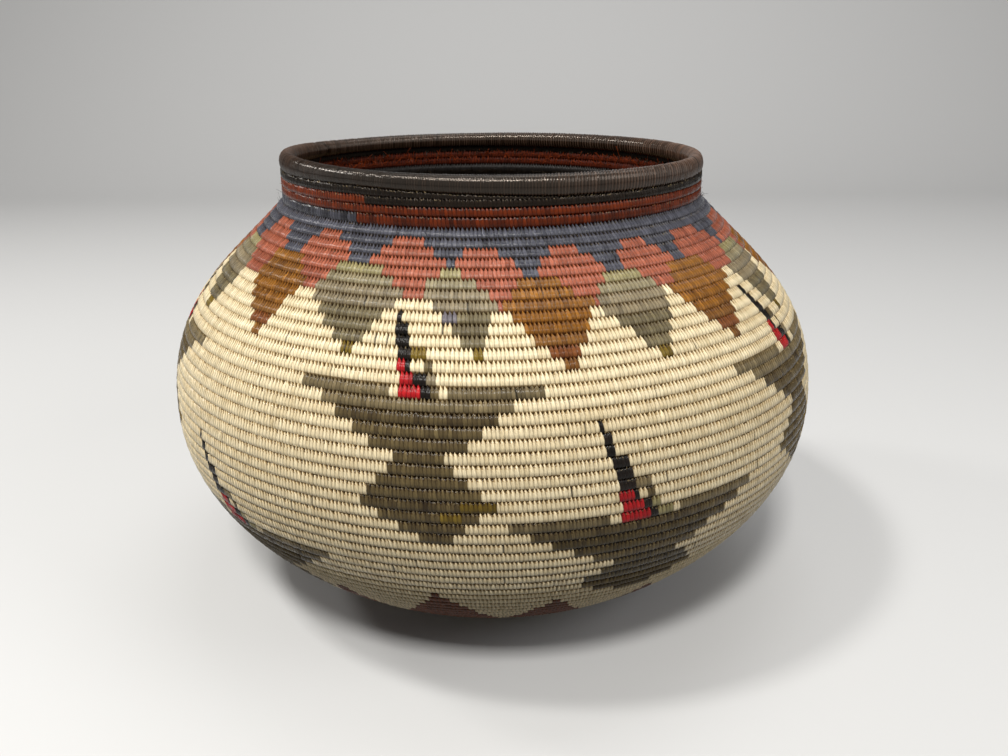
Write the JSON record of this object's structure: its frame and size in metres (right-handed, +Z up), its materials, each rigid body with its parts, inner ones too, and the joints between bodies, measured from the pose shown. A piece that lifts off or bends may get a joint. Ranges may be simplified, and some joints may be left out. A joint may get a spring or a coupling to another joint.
{
  "type": "coiled basket",
  "caption": "Round-bellied coiled basket with a flat base, an upright neck and a rolled rim, sewn in dyed plant fibre with birds, hanging leaves and a scalloped collar.",
  "frame": {"origin": "on the ground, under the middle of the base", "axes": "+Z up along the basket's axis; -Y towards the side that the picture shows"},
  "size_m": [0.225, 0.225, 0.1532],
  "materials": {
    "start_knot": "natural palm strand, knotted, matt",
    "base_inner_coil": "brown-red dyed palm strand sewn round a fibre bundle, satin",
    "base_outer_coil": "natural palm strand sewn round a fibre bundle, satin",
    "heel_coil": "natural and brown-red palm strand sewn round a fibre bundle, satin",
    "lower_wall_coil": "natural palm strand with dyed figures, satin",
    "lower_belly_coil": "natural palm strand with dyed figures, satin",
    "belly_coil": "natural palm strand with dyed figures, satin",
    "upper_belly_coil": "natural palm strand with dyed figures, satin",
    "leaf_coil": "ochre, olive and grey dyed palm strand on natural, satin",
    "scallop_coil": "coral and slate dyed palm strand, satin",
    "blue_collar_coil": "slate-blue dyed palm strand, satin",
    "rust_neck_coil": "rust dyed palm strand, satin",
    "black_neck_coil": "black-brown dyed palm strand, satin",
    "rim_core": "bundle of natural fibre, matt",
    "rim_wrap": "black-brown dyed palm strand wound over the rim core, glossy"
  },
  "bodies": {
    "root": {"start_knot": "start_knot", "base_inner_coil": "base_inner_coil", "base_outer_coil": "base_outer_coil", "heel_coil": "heel_coil", "lower_wall_coil": "lower_wall_coil", "lower_belly_coil": "lower_belly_coil", "belly_coil": "belly_coil", "upper_belly_coil": "upper_belly_coil", "leaf_coil": "leaf_coil", "scallop_coil": "scallop_coil", "blue_collar_coil": "blue_collar_coil", "rust_neck_coil": "rust_neck_coil", "black_neck_coil": "black_neck_coil", "rim_core": "rim_core", "rim_wrap": "rim_wrap"}
  },
  "joints": []
}
